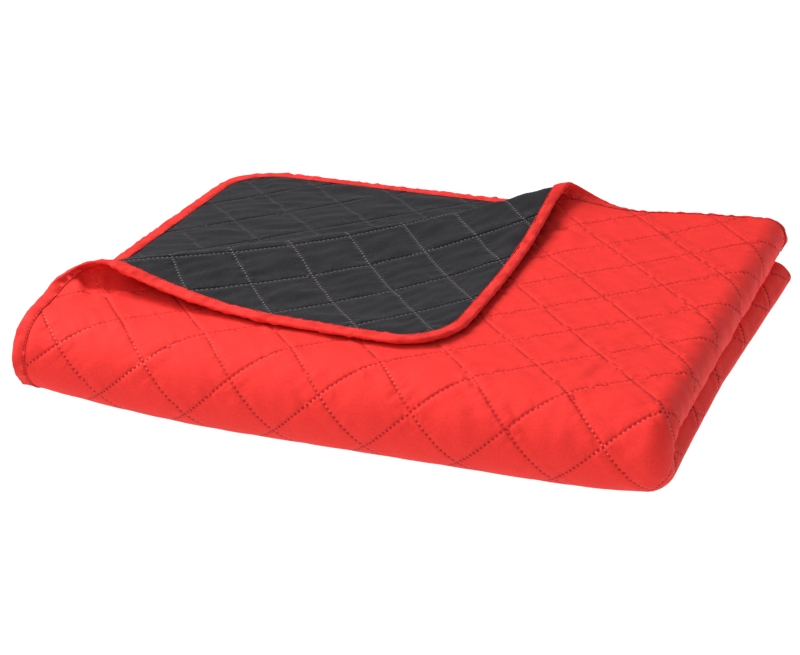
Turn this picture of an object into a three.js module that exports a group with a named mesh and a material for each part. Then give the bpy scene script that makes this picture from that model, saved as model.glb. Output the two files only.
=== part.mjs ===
import * as THREE from 'three';

// Folded quilted bedspread, millimetres, +Z up, +X right along the front fold, +Y to the back.
// Flat cloth: u runs right from the left edge, v runs forward from the back edge, n is the height over
// the middle of the quilt, positive on the face side.
const clothWidth = 2100;
const clothLength = 1800;
const cornerRadius = 55;
const layerPitch = 4.87;
const innerHalfGap = 0.15;
const panelOuter = 1.65;
const panelPinched = 0.8;
const seamOuter = 1.2;
const puffHeight = 1.5;

const bindingWidth = 11.5;
const bindingWall = 1.0;
const bindingOuter = 2.0;
const bindingInner = 1.2;
const panelInset = 1.3;
const pinchInset = 12.5;

// Fold lines across the flat cloth.
const halfFoldV = 901;
const centreFoldU = 1050;
const lobeFoldU = 525;
const frontFoldV = 450;

// Extra reach of the right hand lobes: back of the upper slab, front, back of the lower slab.
const lobeReach = { upperBack: 0, front: 3, lowerBack: 7 };
const lowerBackReach = 26;
const backReach = 29;
const backReachDepth = 277.85;
const backReachFrom = 262.675;
const secondLayerSlip = 2;

// Turned over corner of the top layer: legs of the fold line along the back and the left edge.
const flapLegU = 308;
const flapLegV = 326;
const slopeLength = 54;
const landLength = 70;
const flapRest = 8;
const flapStretch = 0.95;
const flapShear = -0.18;
const flapPastFront = 100;
const crestTable = [
  { along: 0, liftStart: 154, liftLength: 132, liftDegrees: 10.5, radius: 9 },
  { along: 0.5, liftStart: 114, liftLength: 72.5, liftDegrees: 10.5, radius: 7 },
  { along: 1, liftStart: 85, liftLength: 70.5, liftDegrees: 21.5, radius: 4.5 },
];

// Front left end of the stack curls up a little.
const curlHeight = 3;
const curlLength = 77.05;
const curlFrom = 277.85;

// Quilting: half diagonals of the diamonds and where a crossing lies.
const halfDiamondU = 37.125;
const halfDiamondV = 38.25;
const crossingU = 299.8;
const crossingV = 316.1;

const frontSteps = 6;
const lobeSteps = 6;
const centreSteps = 3;
const halfSteps = 2;
const crestSteps = 4;
const liftCuts = [0.2, 0.5];

const clamp = (x, lo, hi) => Math.min(Math.max(x, lo), hi);
const mix = (a, b, t) => a + (b - a) * t;
const smooth = (x, lo, hi) => {
  const t = clamp((x - lo) / (hi - lo), 0, 1);
  return t * t * (3 - 2 * t);
};

const flapLength = Math.hypot(flapLegU, flapLegV);
const flapAxis = [flapLegU / flapLength, -flapLegV / flapLength];
const flapNormal = [-flapLegV / flapLength, -flapLegU / flapLength];
const radians = Math.PI / 180;

// Position along the turned over corner's fold line and past it towards the corner.
function flapPlace(u, v) {
  const along = u * flapAxis[0] + (v - flapLegV) * flapAxis[1];
  const past = u * flapNormal[0] + (v - flapLegV) * flapNormal[1];
  return { along, past };
}

function crestAt(along) {
  const t = clamp(along / flapLength, 0, 1);
  const weights = [(1 - t) * (1 - 2 * t), 4 * t * (1 - t), t * (2 * t - 1)];
  const blend = (key) => crestTable.reduce((sum, row, k) => sum + row[key] * weights[k], 0);
  const lift = blend('liftDegrees') * radians;
  const radius = blend('radius');
  const liftStart = blend('liftStart');
  const liftLength = blend('liftLength');
  const top = (liftLength / lift) * (1 - Math.cos(lift)) + radius * (1 + Math.cos(lift));
  const drop = Math.max((top - flapRest) / (slopeLength + landLength / 2), 0.002);
  return { lift, radius, liftStart, liftLength, drop, turn: Math.PI - lift + drop };
}

// Stage along the profile: 0 to 1 lift, 1 to 2 crest, 2 to 3 slope, 3 to 4 landing.
function flapStage(u, v) {
  const { along, past } = flapPlace(u, v);
  const crest = crestAt(along);
  const { liftStart, liftLength } = crest;
  const crestLength = crest.radius * crest.turn;
  const s = past + liftStart;
  if (s < liftLength) return s / liftLength;
  if (s < liftLength + crestLength) return 1 + (s - liftLength) / crestLength;
  const rest = (s - liftLength - crestLength) * flapStretch;
  return rest < slopeLength ? 2 + rest / slopeLength : 3 + (rest - slopeLength) / landLength;
}

function arcStep(pen, length, turn) {
  if (Math.abs(turn) < 1e-9) {
    pen.q += Math.cos(pen.heading) * length;
    pen.z += Math.sin(pen.heading) * length;
    return;
  }
  const radius = length / turn;
  const next = pen.heading + turn;
  pen.q += radius * (Math.sin(next) - Math.sin(pen.heading));
  pen.z -= radius * (Math.cos(next) - Math.cos(pen.heading));
  pen.heading = next;
}

function turnCorner(u, v, n) {
  const { along, past } = flapPlace(u, v);
  const crest = crestAt(along);
  const { liftStart, liftLength } = crest;
  const s = past + liftStart;
  if (s <= 0 || u > lobeFoldU - 20 || v > frontFoldV + flapPastFront) return [u, v, n];
  const crestLength = crest.radius * crest.turn;
  const pen = { q: -liftStart, z: 0, heading: 0 };
  const lift = clamp(s / liftLength, 0, 1);
  arcStep(pen, lift * liftLength, lift * crest.lift);
  const over = clamp((s - liftLength) / crestLength, 0, 1);
  arcStep(pen, over * crestLength, over * crest.turn);
  const rest = Math.max(s - liftLength - crestLength, 0) * flapStretch;
  arcStep(pen, Math.min(rest, slopeLength), 0);
  const land = clamp((rest - slopeLength) / landLength, 0, 1);
  arcStep(pen, land * landLength, -land * crest.drop);
  arcStep(pen, Math.max(rest - slopeLength - landLength, 0), 0);
  const q = pen.q - Math.sin(pen.heading) * n;
  const e = along + flapShear * rest;
  const z = pen.z + Math.cos(pen.heading) * n;
  return [e * flapAxis[0] + q * flapNormal[0], flapLegV + e * flapAxis[1] + q * flapNormal[1], z];
}

// One fold: everything past the line goes round under and comes back.
function bend(c, z, line, centre) {
  const half = (Math.PI / 2) * -centre;
  if (c <= line - half) return [c, z];
  if (c >= line + half) return [2 * line - c, 2 * centre - z];
  const angle = (Math.PI * (c - line + half)) / (2 * half);
  const radius = z - centre;
  return [line - half + radius * Math.sin(angle), centre + radius * Math.cos(angle)];
}

function reachAt(v) {
  const slab = v < halfFoldV ? v : 2 * halfFoldV - v;
  if (slab < frontFoldV) return mix(lobeReach.upperBack, lobeReach.front, clamp(slab / frontFoldV, 0, 1));
  const below = clamp((slab - frontFoldV) / (halfFoldV - frontFoldV), 0, 1);
  return mix(lobeReach.front, lobeReach.lowerBack, below);
}

function roundCorner(u, v) {
  const cu = clamp(u, cornerRadius, clothWidth - cornerRadius);
  const cv = clamp(v, cornerRadius, clothLength - cornerRadius);
  const du = u - cu;
  const dv = v - cv;
  const size = Math.hypot(du, dv);
  const scale = size > 0 ? Math.max(Math.abs(du), Math.abs(dv)) / size : 1;
  return [cu + du * scale, cv + dv * scale];
}

const topLevel = 15 * layerPitch + panelOuter;
const arcHalf = (centreLayers) => (Math.PI / 2) * centreLayers * layerPitch;
const frontHalf = arcHalf(7.5);
const lobeHalf = arcHalf(3.5);
const centreHalf = arcHalf(1.5);
const halfHalf = arcHalf(0.5);

const lowerReachFrom = 2 * frontFoldV - curlFrom;

// Flat cloth to its place in the stack.
function foldPoint(uFlat, vFlat, n) {
  const [u0, v0] = roundCorner(uFlat, vFlat);
  let [u, v, z] = turnCorner(u0, v0, n);
  u += clamp((v0 - halfFoldV) / halfFoldV, 0, 1) * secondLayerSlip;
  [v, z] = bend(v, z, halfFoldV, -0.5 * layerPitch);
  [u, z] = bend(u, z, centreFoldU, -1.5 * layerPitch);
  const reach = reachAt(v);
  [u, z] = bend(u - reach, z, lobeFoldU, -3.5 * layerPitch);
  u += reach;
  const reachedU = clamp((u - backReachFrom) / (lobeFoldU - backReachFrom), 0, 1);
  v -= backReach * clamp(1 - v / backReachDepth, 0, 1) * reachedU;
  const lowerBack = clamp((v - lowerReachFrom) / (halfFoldV - lowerReachFrom), 0, 1);
  v += lowerBackReach * lowerBack * reachedU;
  [v, z] = bend(v, z, frontFoldV, -7.5 * layerPitch);
  const curlU = clamp((curlLength - u) / (curlLength - centreHalf), 0, 1);
  const curlV = clamp((v - curlFrom) / (frontFoldV - frontHalf - curlFrom), 0, 1);
  return [u, -v, Math.max(z + topLevel + curlHeight * curlU * curlV, 0)];
}

// Grid lines follow the lobes where those reach further out.
function lobeShift(u, v) {
  const mirrored = u > centreFoldU;
  const across = mirrored ? 2 * centreFoldU - u : u;
  const fromEnd = across < lobeFoldU ? across : centreFoldU - across;
  return clamp(fromEnd / (lobeFoldU - 60), 0, 1) * reachAt(v) * (mirrored ? -1 : 1);
}

function puff(u, v) {
  const i = (u - crossingU) / halfDiamondU;
  const j = (v - crossingV) / halfDiamondV;
  return Math.sqrt(Math.abs(Math.sin((Math.PI * (i + j)) / 2) * Math.sin((Math.PI * (i - j)) / 2)));
}

function edgeInset(u, v) {
  return Math.min(u, v, clothWidth - u, clothLength - v);
}

function faceOuter(u, v) {
  if (edgeInset(u, v) < pinchInset + 0.1) return panelPinched;
  const seen = (1 - smooth(u, lobeFoldU, lobeFoldU + 35)) * (1 - smooth(v, 468, 507));
  return mix(panelOuter, seamOuter + puffHeight * puff(u, v), seen);
}

function backOuter(u, v) {
  if (edgeInset(u, v) < pinchInset + 0.1) return -panelPinched;
  const second = v > halfFoldV;
  const past = flapPlace(u, second ? 2 * halfFoldV - v : v).past;
  const seen = u < 345 && (v < 345 || second) ? smooth(past, -10, 40) : 0;
  return -mix(panelOuter, seamOuter + puffHeight * puff(u, second ? 2 * halfFoldV - v : v), seen);
}

function steps(from, to, count) {
  return Array.from({ length: count + 1 }, (_, k) => mix(from, to, k / count));
}

function quiltLines(crossing, spacing, from, to) {
  const first = Math.ceil((from - crossing) / spacing);
  const last = Math.floor((to - crossing) / spacing);
  return Array.from({ length: last - first + 1 }, (_, k) => crossing + (first + k) * spacing);
}

function joined(...lists) {
  const all = lists.flat().sort((a, b) => a - b);
  return all.filter((x, k) => k === 0 || x - all[k - 1] > 1.2);
}

const lobeArc = steps(lobeFoldU - lobeHalf, lobeFoldU + lobeHalf, lobeSteps);
const centreArc = steps(centreFoldU - centreHalf, centreFoldU + centreHalf, centreSteps);
const frontArc = steps(frontFoldV - frontHalf, frontFoldV + frontHalf, frontSteps);
const halfArc = steps(halfFoldV - halfHalf, halfFoldV + halfHalf, halfSteps);
const mirrorU = (list) => list.map((u) => 2 * centreFoldU - u);
const mirrorV = (list) => list.map((v) => 2 * halfFoldV - v);
const arcsU = [...lobeArc, ...centreArc, ...mirrorU(lobeArc)];
const arcsV = [...frontArc, ...halfArc, ...mirrorV(frontArc)];
const edgeU = [panelInset, pinchInset, clothWidth - pinchInset, clothWidth - panelInset];
const edgeV = [panelInset, pinchInset, clothLength - pinchInset, clothLength - panelInset];

// Lines shared by every layer where the curl and the back reaches begin.
const lobeMirror = 2 * lobeFoldU;
const beginU = [lobeMirror - backReachFrom, lobeMirror - curlLength];
const restU = [...beginU, ...mirrorU(beginU), ...mirrorU([backReachFrom, curlLength])];
const beginV = [lowerReachFrom];
const restV = [...beginV, ...mirrorV(beginV), ...mirrorV([curlFrom])];

const quiltU = quiltLines(crossingU, halfDiamondU, 30, 490);
const quiltV = quiltLines(crossingV, halfDiamondV, 30, 390);
const faceU = joined(edgeU, quiltU, arcsU, restU);
const faceV = joined(edgeV, quiltV, arcsV, restV, mirrorV(quiltV.filter((v) => v > curlFrom && v < 345)));
const backU = joined(edgeU, quiltU.filter((u) => u < 450), arcsU, restU);
const backV = joined(edgeV, quiltV, arcsV, restV, mirrorV(quiltV.filter((v) => v < 345)));

// Flat solid of one panel: outer and inner face on the same grid, closed round the rim.
function panelMesh(uLines, vLines, outer, inner) {
  const points = [];
  const triangles = [];
  const columns = uLines.length;
  const rows = vLines.length;
  const count = columns * rows;
  for (const height of [outer, inner]) {
    for (const v of vLines) {
      for (const u of uLines) points.push([u + lobeShift(u, v), v, height(u, v)]);
    }
  }
  const at = (i, j, side) => side * count + j * columns + i;
  for (let j = 0; j + 1 < rows; j += 1) {
    for (let i = 0; i + 1 < columns; i += 1) {
      const across = (uLines[i] - crossingU) / halfDiamondU;
      const down = (vLines[j] - crossingV) / halfDiamondV;
      const seamUp = Math.round(across + down) % 2 === 0;
      for (const side of [0, 1]) {
        const a = at(i, j, side);
        const b = at(i + 1, j, side);
        const c = at(i + 1, j + 1, side);
        const d = at(i, j + 1, side);
        const pair = seamUp ? [[a, b, c], [a, c, d]] : [[a, b, d], [b, c, d]];
        for (const t of pair) triangles.push(side ? [t[0], t[2], t[1]] : t);
      }
    }
  }
  const wall = (i0, j0, i1, j1) => {
    const a = at(i0, j0, 0);
    const b = at(i1, j1, 0);
    const c = at(i1, j1, 1);
    const d = at(i0, j0, 1);
    triangles.push([b, a, d], [b, d, c]);
  };
  for (let i = 0; i + 1 < columns; i += 1) {
    wall(i, 0, i + 1, 0);
    wall(i + 1, rows - 1, i, rows - 1);
  }
  for (let j = 0; j + 1 < rows; j += 1) {
    wall(columns - 1, j, columns - 1, j + 1);
    wall(0, j + 1, 0, j);
  }
  return { points, triangles };
}

// Flat ring of the binding: one U section carried round the four sides and the rounded corners.
function bindingMesh() {
  const section = [
    { inset: bindingWidth, n: bindingOuter },
    { inset: 0, n: bindingOuter },
    { inset: 0, n: -bindingOuter },
    { inset: bindingWidth, n: -bindingOuter },
    { inset: bindingWidth, n: -bindingInner },
    { inset: bindingWall, n: -bindingInner },
    { inset: bindingWall, n: bindingInner },
    { inset: bindingWidth, n: bindingInner },
  ];
  const inside = (list, end) => {
    const straight = list.filter((x) => x > cornerRadius && x < end - cornerRadius);
    return joined([cornerRadius, end - cornerRadius], straight);
  };
  const sideU = inside([...quiltU.filter((u) => u < 450), ...arcsU, ...restU], clothWidth);
  const sideV = inside([...quiltV, ...arcsV, ...restV], clothLength);
  const stations = [];
  const near = (lists, end, full) => {
    const depth = lists.flat().map((x) => (end ? full - x : x));
    const kept = joined(depth.filter((x) => x > panelInset + 1 && x < cornerRadius - 1));
    return kept.map((x) => 1 - (cornerRadius - x) / (cornerRadius - panelInset));
  };
  const corner = (endU, endV, turnFirst) => {
    const alongV = near([faceV, backV], endV, clothLength).map((x) => ({ endU, endV, backU: 0, backV: x }));
    const alongU = near([faceU, backU], endU, clothWidth).map((x) => ({ endU, endV, backU: x, backV: 0 }));
    const tip = { endU, endV, backU: 0, backV: 0 };
    if (turnFirst) stations.push(...alongV.reverse(), tip, ...alongU);
    else stations.push(...alongU.reverse(), tip, ...alongV);
  };
  for (const v of sideV) stations.push({ endU: 0, v });
  corner(0, 1, true);
  for (const u of sideU) stations.push({ endV: 1, u });
  corner(1, 1, false);
  for (const v of [...sideV].reverse()) stations.push({ endU: 1, v });
  corner(1, 0, true);
  for (const u of [...sideU].reverse()) stations.push({ endV: 0, u });
  corner(0, 0, false);
  const side = (end, full, inset) => (end ? full - inset : inset);
  const place = (station, inset) => {
    const reach = cornerRadius - inset;
    if (station.v !== undefined) return [side(station.endU, clothWidth, inset), station.v];
    if (station.u !== undefined) {
      const shift = lobeShift(station.u, station.endV * clothLength);
      return [station.u + shift, side(station.endV, clothLength, inset)];
    }
    return [
      side(station.endU, clothWidth, inset + reach * station.backU),
      side(station.endV, clothLength, inset + reach * station.backV),
    ];
  };
  const points = [];
  const triangles = [];
  for (const station of stations) {
    for (const { inset, n } of section) points.push([...place(station, inset), n]);
  }
  const size = section.length;
  for (let j = 0; j < stations.length; j += 1) {
    const next = (j + 1) % stations.length;
    for (let k = 0; k < size; k += 1) {
      const a = j * size + k;
      const b = j * size + ((k + 1) % size);
      const c = next * size + ((k + 1) % size);
      const d = next * size + k;
      triangles.push([a, b, c], [a, c, d]);
    }
  }
  return { points, triangles };
}

// Extra lines along the turned over corner so that its crest is round.
function cutAlongCrest(mesh) {
  const levels = [...liftCuts, ...steps(1, 2, crestSteps), 3.5];
  const { points } = mesh;
  let { triangles } = mesh;
  for (const level of levels) {
    const near = (p) => p[0] < lobeFoldU - 20 && p[1] < frontFoldV + flapPastFront;
    const value = points.map((p) => (near(p) ? flapStage(...roundCorner(p[0], p[1])) - level : -1));
    const made = new Map();
    const split = (a, b) => {
      const key = a < b ? `${a} ${b}` : `${b} ${a}`;
      if (made.has(key)) return made.get(key);
      const [from, to] = a < b ? [a, b] : [b, a];
      let low = 0;
      let high = 1;
      const point = (t) => points[from].map((x, k) => mix(x, points[to][k], t));
      for (let k = 0; k < 40; k += 1) {
        const mid = (low + high) / 2;
        const p = point(mid);
        if ((flapStage(...roundCorner(p[0], p[1])) - level) * value[from] > 0) low = mid;
        else high = mid;
      }
      points.push(point((low + high) / 2));
      made.set(key, points.length - 1);
      return points.length - 1;
    };
    const next = [];
    for (const t of triangles) {
      const sign = t.map((k) => (Math.abs(value[k]) < 0.02 ? 0 : Math.sign(value[k])));
      if (!(sign.includes(1) && sign.includes(-1))) {
        next.push(t);
        continue;
      }
      if (sign.includes(0)) {
        const k = sign.indexOf(0);
        const [o, a, b] = [t[k], t[(k + 1) % 3], t[(k + 2) % 3]];
        const m = split(a, b);
        next.push([o, a, m], [o, m, b]);
        continue;
      }
      const lone = sign.findIndex((s) => sign.filter((other) => other === s).length === 1);
      const [o, a, b] = [t[lone], t[(lone + 1) % 3], t[(lone + 2) % 3]];
      const m = split(o, a);
      const w = split(o, b);
      const apart = (x, y) => Math.hypot(points[x][0] - points[y][0], points[x][1] - points[y][1]);
      next.push([o, m, w]);
      if (apart(m, b) < apart(a, w)) next.push([m, a, b], [m, b, w]);
      else next.push([m, a, w], [a, b, w]);
    }
    triangles = next;
  }
  return { points, triangles };
}

function folded(mesh) {
  const cut = cutAlongCrest(mesh);
  return { points: cut.points.map((p) => foldPoint(...p)), triangles: cut.triangles };
}

const pieces = [
  { name: 'face_panel', colour: 0xd8262c, mesh: panelMesh(faceU, faceV, faceOuter, () => innerHalfGap) },
  { name: 'back_panel', colour: 0x2c2b2d, mesh: panelMesh(backU, backV, () => -innerHalfGap, backOuter) },
  { name: 'binding', colour: 0xc92227, mesh: bindingMesh() },
].map((piece) => ({ ...piece, solid: folded(piece.mesh) }));

const bounds = new THREE.Box3();
for (const { solid } of pieces) {
  for (const p of solid.points) bounds.expandByPoint(new THREE.Vector3(...p));
}
const middle = bounds.getCenter(new THREE.Vector3());

function signedVolume({ points, triangles }) {
  let six = 0;
  for (const [a, b, c] of triangles) {
    const [p, q, r] = [a, b, c].map((k) => new THREE.Vector3(...points[k]));
    six += p.dot(q.cross(r));
  }
  return six / 6;
}

function toGeometry(solid) {
  const outward = signedVolume(solid) > 0;
  const geometry = new THREE.BufferGeometry();
  const positions = solid.points.flatMap(([x, y, z]) => [x - middle.x, y - middle.y, z - bounds.min.z]);
  geometry.setAttribute('position', new THREE.Float32BufferAttribute(positions, 3));
  geometry.setIndex(solid.triangles.flatMap(([a, b, c]) => (outward ? [a, b, c] : [a, c, b])));
  geometry.computeVertexNormals();
  return geometry;
}

const bedspread = new THREE.Group();
bedspread.name = 'bedspread';
for (const { name, colour, solid } of pieces) {
  const material = new THREE.MeshStandardMaterial({ color: colour, roughness: 0.85, metalness: 0 });
  const mesh = new THREE.Mesh(toGeometry(solid), material);
  mesh.name = name;
  bedspread.add(mesh);
}

export default bedspread;
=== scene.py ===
import bpy
import math
import numpy as np
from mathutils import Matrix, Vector


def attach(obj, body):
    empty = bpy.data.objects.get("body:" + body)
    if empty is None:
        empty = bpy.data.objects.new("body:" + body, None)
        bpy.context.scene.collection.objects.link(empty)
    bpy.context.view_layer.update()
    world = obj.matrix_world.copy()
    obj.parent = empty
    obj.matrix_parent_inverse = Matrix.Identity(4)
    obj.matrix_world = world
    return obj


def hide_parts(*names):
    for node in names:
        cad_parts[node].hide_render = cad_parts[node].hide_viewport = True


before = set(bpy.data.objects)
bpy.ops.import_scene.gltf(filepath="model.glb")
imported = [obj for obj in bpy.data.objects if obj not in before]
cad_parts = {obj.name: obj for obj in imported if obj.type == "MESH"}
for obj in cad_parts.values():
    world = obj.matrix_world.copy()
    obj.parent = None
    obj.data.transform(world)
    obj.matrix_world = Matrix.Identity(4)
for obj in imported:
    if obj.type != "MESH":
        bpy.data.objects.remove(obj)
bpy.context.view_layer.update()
bpy.ops.object.select_all(action="DESELECT")

mmPerMetre = 1000.0

# flat cloth in mm: u to the right from the left edge, v forward from the back edge, n up off the red side
cloth = {
    "width": 2100.0,
    "length": 1800.0,
    "cornerRadius": 55.0,
    "pitch": 4.87,             # one layer to the next in the stack
    "halfFold": 897.5,         # first fold, across v
    "centreFold": 1050.0,      # second fold, across u
    "lobeFold": 525.0,         # third fold, across u, the right hand lobes
    "frontFold": 450.0,        # last fold, across v, the front
    # layers from the top layer's middle down to the middle of each fold
    "layers": {"halfFold": 0.5, "centreFold": 1.5, "lobeFold": 3.5, "frontFold": 7.5},
    "secondSlip": 0.95,        # second layer's slip to the right
    "topLevel": 74.7,          # middle of the top layer over the floor
    "left": -261.98,           # place of u = 0 and v = 0 in the frame
    "back": 203.04,
}

# right hand end: two round lobes with a crease between them
lobes = {
    "along": (0.0, 450.0, 675.0, 900.0),   # upper back, front, under side, lower back
    "reach": (-2.0, 7.7, 1.1, 5.5),
    "backFrom": 262.0,         # the back corners lie further out from here on
    "upperBack": 31.5,
    "upperDepth": 278.0,
    "lowerBack": 30.3,
    "lowerDepth": 640.0,
    "noseFrom": 425.0,         # under side rises towards the nose of the lower lobe
    "nose": 28.5,
    "rise": 0.46,
    "riseMost": 1.2,
    "riseDrop": 0.5,           # and rises less towards the front
    "riseDropOver": (340.0, 440.0),
    "rollFrom": (330.0, 430.0),  # the back edge rolls down behind from here on
    "rollDepth": 18.0,
    "rollDown": 9.0,
    "rollIn": 4.5,
    "rollInOver": (-25.0, 5.0),  # to the right of the lobes' fold line
    "rollBack": 9.0,
    "rollBackDepth": 60.0,
}

# front left end curls up off the floor and pushes the layers above it together
curl = {
    "height": 15.15,
    "length": 192.5,
    "from": 260.0,
    "to": 395.0,
    "squash": 0.97,
    "squashMost": 1.3,         # in heights of the top layer
    "domeAt": 359.3,           # the upper layers' left edge rounds up into the crest
    "domeSpread": 20.0,
    "domeRise": 6.1,
    "domeTop": 84.0,           # what is higher than this is flattened
    "domeFlatten": 0.25,
    "domeFade": 70.0,
    "lean": 9.05,              # the crest's left end leans in to the right
    "leanFrom": 87.85,
    "leanTo": 105.4,
    "leanBend": 1.5,
    "leanFade": 130.0,
    "leanAlong": (200.0, 300.0),
}

# corner of the top layer that is turned over
corner = {
    "legU": 310.1,
    "legV": 329.6,
    "slopeLength": 51.7,
    "landLength": 70.0,
    "rest": 6.5,
    "stretch": 0.966,
    "shear": -0.177,
    # at the left end, the middle and the back end of the crest
    "start": (153.2, 113.7, 87.4),   # lift begins this far before the fold line
    "liftLength": (121.4, 69.4, 74.6),
    "lift": (5.6, 0.9, 14.7),      # degrees
    "radius": (13.3, 10.16, 5.42),
    # the back end of the crest is rounder
    "backEnd": {"from": 0.941, "to": 1.127, "start": 33.7, "liftLength": -8.1, "lift": -20.4, "radius": 13.1},
    "lobeGap": 20.0,           # nothing is lifted nearer to the lobes' fold than this
    "pastFront": 100.0,        # or further past the front fold
}

# creases placed on the whole sheet: start, end, height on the red side, half width
handCreases = [
    ((13, 346), (26, 364), 3.0, 4.5),    # crumpled hollow at the left end
    ((18, 337), (34, 360), -3.2, 6),
    ((24, 330), (32, 337), 2.2, 4.5),
    ((37, 338), (47, 355), -2.2, 5),
    ((18, 374), (31, 370), 1.8, 4),
    ((49, 351), (61, 342), 2.0, 5),
    ((55, 339), (74, 332), -2.0, 6),
    ((441, 379), (446, 344), 1.1, 5),    # soft marks on the flat top
    ((450, 375), (455, 344), -0.9, 5),
    ((415, 327), (419, 298), 0.9, 5),
    ((424, 325), (428, 298), -0.8, 5),
    ((450, 296), (455, 265), 0.7, 6),
    ((340, 14), (356, 120), 1.4, 9),     # hollow behind the crest
    ((325, 30), (322, 110), 1.1, 7),
    ((324, 66), (354, 80), -1.4, 5),
    ((330, 84), (358, 92), 1.3, 5),
    ((340, 136), (352, 150), -1.5, 6),
    ((55, 225), (129, 171), -1.6, 9),    # turned over corner
    ((31, 182), (72, 140), -1.4, 7),
    ((57, 105), (102, 60), -1.3, 7),
    ((174, 93), (230, 44), -1.4, 8),
    ((145, 40), (198, 12), -1.2, 7),
    ((21, 140), (33, 74), -1.0, 6),
    ((31, 256), (52, 241), 1.4, 7),
    ((24, 214), (16, 196), 1.8, 8),
    ((79, 217), (66, 199), 1.3, 7),
    ((132, 152), (127, 130), 1.2, 7),
]
creaseFade = {"from": 0.08, "span": 0.84, "power": 0.6}   # part of a half sine wave along a crease

# seams of the quilting, one at each whole number of p and of q
quilting = {
    "p": (0.01402444, -0.01262371, 5.87647922),
    "q": (0.01325374, 0.01405441, -5.5020198),
    "side": 52.4,
    "dots": 13,
    "drift": (0.30, 0.40),     # of p and q on the second layer, gained where the cloth is hidden
    "driftOver": (900.0, 1400.0),
    "softness": 2.4,           # rounds the valley at a seam
    "swell": 7.5,              # a pillow fills out over this distance
    "full": 0.93,
}


def ramp(x, lo, hi):
    return np.clip((x - lo) / (hi - lo), 0.0, 1.0)


def ease(x, lo, hi):
    t = ramp(x, lo, hi)
    return t * t * (3.0 - 2.0 * t)


def mix(a, b, t):
    return a + (b - a) * t


def throughThree(t, three):
    t = np.clip(t, 0.0, 1.0)
    return three[0] * (1 - t) * (1 - 2 * t) + 4 * three[1] * t * (1 - t) + three[2] * t * (2 * t - 1)


def seamPlace(u, v):
    p = quilting["p"][0] * u + quilting["p"][1] * v + quilting["p"][2]
    q = quilting["q"][0] * u + quilting["q"][1] * v + quilting["q"][2]
    drift = ease(v, *quilting["driftOver"])
    return p + quilting["drift"][0] * drift, q + quilting["drift"][1] * drift


# centre of the nearest corner's round, place from there, its distance and its larger side
def fromCorner(u, v):
    r = cloth["cornerRadius"]
    cu = np.clip(u, r, cloth["width"] - r)
    cv = np.clip(v, r, cloth["length"] - r)
    du, dv = u - cu, v - cv
    return cu, cv, du, dv, np.hypot(du, dv), np.maximum(abs(du), abs(dv))


def roundedCorner(u, v):
    cu, cv, du, dv, size, wide = fromCorner(u, v)
    scale = np.where(size > 0, wide / np.maximum(size, 1e-9), 1.0)
    return cu + du * scale, cv + dv * scale


# undoes roundedCorner, for points that are on the rounded edge already
def squareCorner(u, v):
    cu, cv, du, dv, size, wide = fromCorner(u, v)
    scale = np.where(size > 0, size / np.maximum(wide, 1e-9), 1.0)
    return cu + du * scale, cv + dv * scale


# along the turned over corner's fold line, past it towards the corner, and the line's length
def cornerPlace(u, v):
    legU, legV = corner["legU"], corner["legV"]
    size = math.hypot(legU, legV)
    along = (u * legU - (v - legV) * legV) / size
    past = (-u * legV - (v - legV) * legU) / size
    return along, past, size


def arcStep(s, length, turn, heading):
    s = np.clip(s, 0.0, length)
    curve = turn / np.maximum(length, 1e-9)
    flat = abs(curve) < 1e-9
    safe = np.where(flat, 1.0, curve)
    after = heading + curve * s
    dq = np.where(flat, np.cos(heading) * s, (np.sin(after) - np.sin(heading)) / safe)
    dz = np.where(flat, np.sin(heading) * s, (np.cos(heading) - np.cos(after)) / safe)
    return dq, dz, after


# lift, round crest, slope and landing of the turned over corner
def turnedCorner(u, v, n):
    along, past, size = cornerPlace(u, v)
    t = np.clip(along / size, 0.0, 1.0)
    backEnd = corner["backEnd"]
    atBack = ease(along / size, backEnd["from"], backEnd["to"])
    start, liftLength, lift, radius = (throughThree(t, corner[key]) + backEnd[key] * atBack
                                       for key in ("start", "liftLength", "lift", "radius"))
    lift = np.radians(lift)
    slope, land = corner["slopeLength"], corner["landLength"]
    top = liftLength / lift * (1 - np.cos(lift)) + radius * (1 + np.cos(lift))
    drop = np.maximum((top - corner["rest"]) / (slope + land / 2), 0.0)
    turn = math.pi - lift + drop
    s = np.maximum(past + start, 0.0)
    q = np.minimum(past + start, 0.0) - start
    dq, dz, heading = arcStep(s, liftLength, lift, 0.0 * lift)
    q, z = q + dq, dz
    dq, dz, over = arcStep(s - liftLength, radius * turn, turn, lift)
    q, z = q + dq, z + dz
    heading = np.where(s > liftLength, over, heading)
    rest = np.maximum(s - liftLength - radius * turn, 0.0) * corner["stretch"]
    down = np.minimum(rest, slope)
    q, z = q - down * np.cos(drop), z - down * np.sin(drop)
    dq, dz, after = arcStep(rest - slope, land, -drop, math.pi + drop)
    q, z = q + dq, z + dz
    heading = np.where(rest > slope, after, heading)
    q = q - np.maximum(rest - slope - land, 0.0)
    q, z = q - np.sin(heading) * n, z + np.cos(heading) * n
    along = along + corner["shear"] * rest
    legU, legV = corner["legU"], corner["legV"]
    turnedU = (along * legU - q * legV) / size
    turnedV = legV + (-along * legV - q * legU) / size
    used = (past > -start) & (u < cloth["lobeFold"] - corner["lobeGap"])
    used = used & (v < cloth["frontFold"] + corner["pastFront"])
    return np.where(used, turnedU, u), np.where(used, turnedV, v), np.where(used, z, n)


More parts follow.
